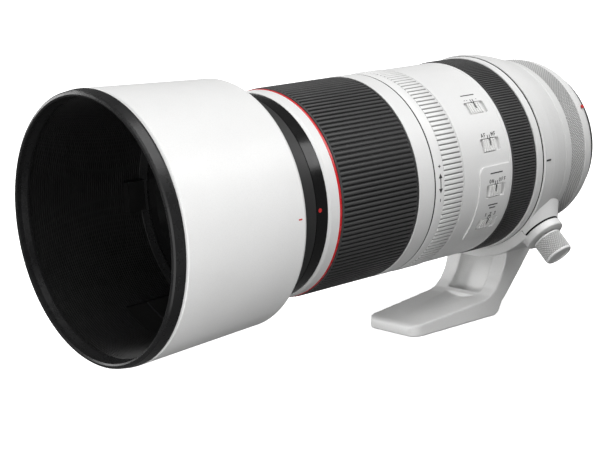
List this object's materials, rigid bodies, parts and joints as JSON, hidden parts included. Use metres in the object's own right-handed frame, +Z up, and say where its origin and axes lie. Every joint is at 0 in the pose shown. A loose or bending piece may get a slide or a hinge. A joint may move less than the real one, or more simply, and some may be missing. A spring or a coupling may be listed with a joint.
{
  "type": "telephoto zoom lens",
  "caption": "White telephoto zoom lens with ribbed zoom and focus rings, a deep bayonet hood, sliding side switches, and a turning tripod collar with clamp knob and foot.",
  "frame": {"origin": "centre of the rear mount's flange face, on the optical axis", "axes": "+Y along the optical axis out of the rear of the lens, so the hood points to -Y; +Z up, the tripod foot hangs to -Z; +X is the side with the switches"},
  "size_m": [0.11, 0.2734, 0.1319],
  "materials": {
    "white_shell": "satin white coating on moulded plastic",
    "white_barrel": "satin white coating",
    "white_cast": "satin off-white paint on cast light alloy",
    "white_knob": "satin off-white paint, knurled",
    "switch_white": "satin moulded",
    "black_satin": "satin black",
    "black_matte": "dead matt black",
    "black_rubber": "ribbed matt rubber",
    "seal_rubber": "matt",
    "red_gloss": "gloss",
    "optical_glass": "coated and polished",
    "black_alloy": "black anodised",
    "bare_alloy": "turned",
    "mount_steel": "fine turned plating",
    "screw_steel": "bright",
    "contact_gold": "plated",
    "bush_brass": "turned",
    "board_green": "solder mask",
    "felt_black": "felt",
    "motor_steel": "bright"
  },
  "bodies": {
    "main_barrel": {"guide_tube": "bare_alloy", "switch_barrel": "white_barrel", "switch_panel": "white_barrel", "rear_barrel": "white_cast", "collar_retainer": "white_cast", "rear_cover": "white_barrel", "mount_bayonet": "mount_steel", "mount_screws": "screw_steel", "mount_seal": "seal_rubber", "contact_block": "black_matte", "contact_pins": "contact_gold", "rear_baffle": "black_matte", "main_board": "board_green", "inner_tube": "bare_alloy", "steady_housing": "black_alloy", "iris_unit": "black_matte", "focus_rods": "screw_steel", "focus_motor": "motor_steel", "rear_cell": "black_alloy", "rear_element": "optical_glass"},
    "front_barrel": {"front_ring": "black_satin", "front_retainer": "black_matte", "front_elements": "optical_glass", "front_cell": "black_alloy", "front_tube": "white_barrel", "name_band": "white_barrel", "red_ring": "red_gloss"},
    "hood": {"hood_shell": "white_shell", "hood_liner": "black_matte", "hood_bayonet": "black_satin", "hood_rim": "black_satin"},
    "hood_button": {"hood_button": "switch_white"},
    "hood_window": {"hood_window": "black_satin"},
    "zoom_ring": {"zoom_core": "bare_alloy", "zoom_grip": "black_rubber", "zoom_band": "white_barrel"},
    "cam_barrel": {"cam_barrel": "black_alloy"},
    "variator": {"variator_cell": "black_alloy", "variator_elements": "optical_glass"},
    "tension_ring": {"tension_ring": "white_barrel", "tension_brake": "felt_black"},
    "focus_ring": {"focus_core": "bare_alloy", "focus_grip": "black_rubber"},
    "focus_group": {"focus_cell": "black_alloy", "focus_element": "optical_glass"},
    "steady_frame": {"steady_frame": "black_alloy"},
    "steady_cell": {"steady_cell": "black_matte", "steady_element": "optical_glass"},
    "control_ring": {"control_ring": "white_barrel"},
    "tripod_collar": {"collar_ring": "white_cast", "tripod_foot": "white_cast", "foot_bushes": "bush_brass"},
    "clamp_knob": {"clamp_knob": "white_knob"},
    "switch_limit": {"switch_limit": "switch_white"},
    "switch_focus": {"switch_focus": "switch_white"},
    "switch_steady": {"switch_steady": "switch_white"},
    "switch_mode": {"switch_mode": "switch_white"}
  },
  "joints": [
    {"name": "zoom_turn", "type": "hinge", "parent": "main_barrel", "child": "zoom_ring", "pos_m": [0, -0.148, 0], "axis": [0, 1, 0], "range_deg": [0, 77]},
    {"name": "front_slide", "type": "slide", "parent": "main_barrel", "child": "front_barrel", "axis": [0, -1, 0], "range_m": [0, 0.0854]},
    {"name": "cam_turn", "type": "hinge", "parent": "main_barrel", "child": "cam_barrel", "pos_m": [0, -0.12, 0], "axis": [0, 1, 0], "range_deg": [0, 77]},
    {"name": "variator_slide", "type": "slide", "parent": "main_barrel", "child": "variator", "axis": [0, -1, 0], "range_m": [0, 0.0282]},
    {"name": "tension_turn", "type": "hinge", "parent": "main_barrel", "child": "tension_ring", "pos_m": [0, -0.112, 0], "axis": [0, 1, 0], "range_deg": [-22, 22]},
    {"name": "focus_turn", "type": "hinge", "parent": "main_barrel", "child": "focus_ring", "pos_m": [0, -0.0625, 0], "axis": [0, 1, 0], "continuous": true},
    {"name": "focus_slide", "type": "slide", "parent": "main_barrel", "child": "focus_group", "axis": [0, -1, 0], "range_m": [-0.008, 0.008]},
    {"name": "steady_across", "type": "slide", "parent": "main_barrel", "child": "steady_frame", "axis": [1, 0, 0], "range_m": [-0.001, 0.001], "stiffness_N_per_m": 3000},
    {"name": "steady_lift", "type": "slide", "parent": "steady_frame", "child": "steady_cell", "axis": [0, 0, 1], "range_m": [-0.001, 0.001], "stiffness_N_per_m": 3000},
    {"name": "control_turn", "type": "hinge", "parent": "main_barrel", "child": "control_ring", "pos_m": [0, -0.018, 0], "axis": [0, 1, 0], "continuous": true},
    {"name": "collar_turn", "type": "hinge", "parent": "main_barrel", "child": "tripod_collar", "pos_m": [0, -0.04, 0], "axis": [0, 1, 0], "continuous": true},
    {"name": "clamp_turn", "type": "hinge", "parent": "tripod_collar", "child": "clamp_knob", "pos_m": [0.0396, -0.04, -0.0396], "axis": [0.7071, 0, -0.7071], "range_deg": [0, 720]},
    {"name": "hood_turn", "type": "hinge", "parent": "front_barrel", "child": "hood", "pos_m": [0, -0.204, 0], "axis": [0, 1, 0], "range_deg": [0, 55]},
    {"name": "hood_button_press", "type": "slide", "parent": "hood", "child": "hood_button", "axis": [1, 0, 0], "range_m": [0, 0.0013], "stiffness_N_per_m": 500},
    {"name": "hood_window_slide", "type": "slide", "parent": "hood", "child": "hood_window", "axis": [0, -1, 0], "range_m": [0, 0.0093]},
    {"name": "limit_slide", "type": "slide", "parent": "main_barrel", "child": "switch_limit", "axis": [0, 1, 0], "range_m": [-0.002, 0.002]},
    {"name": "focus_mode_slide", "type": "slide", "parent": "main_barrel", "child": "switch_focus", "axis": [0, 1, 0], "range_m": [-0.002, 0.002]},
    {"name": "steady_switch_slide", "type": "slide", "parent": "main_barrel", "child": "switch_steady", "axis": [0, 1, 0], "range_m": [-0.002, 0.002]},
    {"name": "steady_mode_slide", "type": "slide", "parent": "main_barrel", "child": "switch_mode", "axis": [0, 1, 0], "range_m": [-0.002, 0.002]}
  ],
  "couplings": [
    {"joint": "front_slide", "follows": "zoom_turn", "m_per_rad": 0.063472},
    {"joint": "cam_turn", "follows": "zoom_turn", "ratio": 1},
    {"joint": "variator_slide", "follows": "zoom_turn", "m_per_rad": 0.020835}
  ]
}
